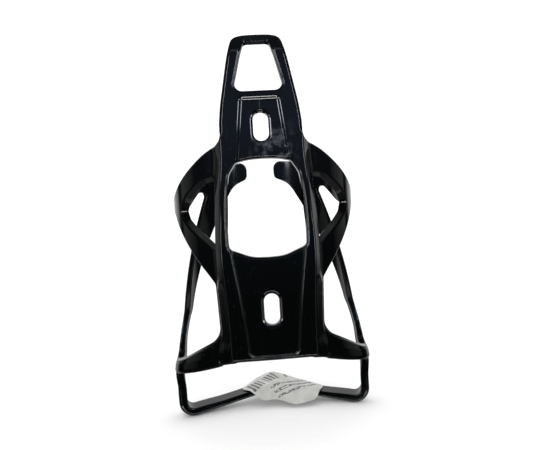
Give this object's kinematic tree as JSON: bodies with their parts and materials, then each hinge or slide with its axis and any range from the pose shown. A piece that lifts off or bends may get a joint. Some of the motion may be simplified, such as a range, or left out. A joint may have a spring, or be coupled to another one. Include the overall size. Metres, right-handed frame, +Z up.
{
  "type": "water bottle cage",
  "caption": "Moulded plastic bicycle bottle cage: a slotted back plate with an open top loop, wrap-round sprung arms, splayed legs and a floor strip, gripping a round bottle.",
  "frame": {"origin": "midway between the two mounting slots, on the rear mounting face", "axes": "+Z up along the bottle, +Y from the mounting face towards the bottle, +X to the right as seen from the bicycle's tube"},
  "size_m": [0.0882, 0.0785, 0.1516],
  "materials": {
    "gloss_black": "deep gloss black injection-moulded plastic",
    "label_paper": "pale coated label paper"
  },
  "bodies": {
    "root": {"floor_bar": "gloss_black", "left_base_band": "gloss_black", "left_floor_corner": "gloss_black", "left_front_arm": "gloss_black", "left_leg": "gloss_black", "left_lower_wing": "gloss_black", "left_rail": "gloss_black", "left_side_bridge": "gloss_black", "left_upper_wing": "gloss_black", "left_upright": "gloss_black", "lower_mount_pad": "gloss_black", "price_label": "label_paper", "right_base_band": "gloss_black", "right_floor_corner": "gloss_black", "right_front_arm": "gloss_black", "right_leg": "gloss_black", "right_lower_wing": "gloss_black", "right_rail": "gloss_black", "right_side_bridge": "gloss_black", "right_upper_wing": "gloss_black", "right_upright": "gloss_black", "top_loop": "gloss_black", "upper_mount_pad": "gloss_black"}
  },
  "joints": []
}
